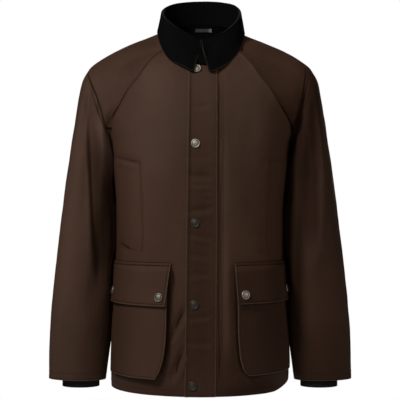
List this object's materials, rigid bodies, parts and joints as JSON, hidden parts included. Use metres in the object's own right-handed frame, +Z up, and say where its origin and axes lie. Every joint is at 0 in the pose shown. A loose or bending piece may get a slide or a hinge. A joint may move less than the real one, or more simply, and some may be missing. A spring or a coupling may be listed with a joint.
{
  "type": "waxed cotton jacket",
  "caption": "Hip-length waxed cotton jacket with raglan sleeves, turned-down cord collar, storm flap, knitted storm cuffs and flapped bellows pockets, filled out as if worn.",
  "frame": {"origin": "middle of the neck opening at the level of the shoulders, where the wearer carries the jacket", "axes": "+Z up towards the collar, the front faces -Y, +X is the wearer's left"},
  "size_m": [0.629, 0.3259, 0.813],
  "materials": {
    "waxed_cotton": "waxed woven cotton, dull with a soft sheen",
    "cord_cloth": "fine cord, dull",
    "knitted_rib": "ribbed knit, dull",
    "facing_cloth": "plain weave, dull",
    "label_cloth": "blank woven bar, dull",
    "snap_metal": "antique silver plating, satin"
  },
  "bodies": {
    "root": {"front_right": "waxed_cotton", "front_left": "waxed_cotton", "back": "waxed_cotton", "sleeve_right": "waxed_cotton", "sleeve_left": "waxed_cotton", "storm_flap": "waxed_cotton", "handwarmer_right": "waxed_cotton", "handwarmer_left": "waxed_cotton", "pocket_right": "waxed_cotton", "pocket_left": "waxed_cotton", "pocket_flap_right": "waxed_cotton", "pocket_flap_left": "waxed_cotton", "collar": "cord_cloth", "storm_cuff_right": "knitted_rib", "storm_cuff_left": "knitted_rib", "neck_facing": "facing_cloth", "neck_label": "label_cloth", "storm_snap_1": "snap_metal", "storm_snap_2": "snap_metal", "storm_snap_3": "snap_metal", "storm_snap_4": "snap_metal", "storm_snap_5": "snap_metal", "pocket_snap_right_inner": "snap_metal", "pocket_snap_right_outer": "snap_metal", "pocket_snap_left_inner": "snap_metal", "pocket_snap_left_outer": "snap_metal"}
  },
  "joints": []
}
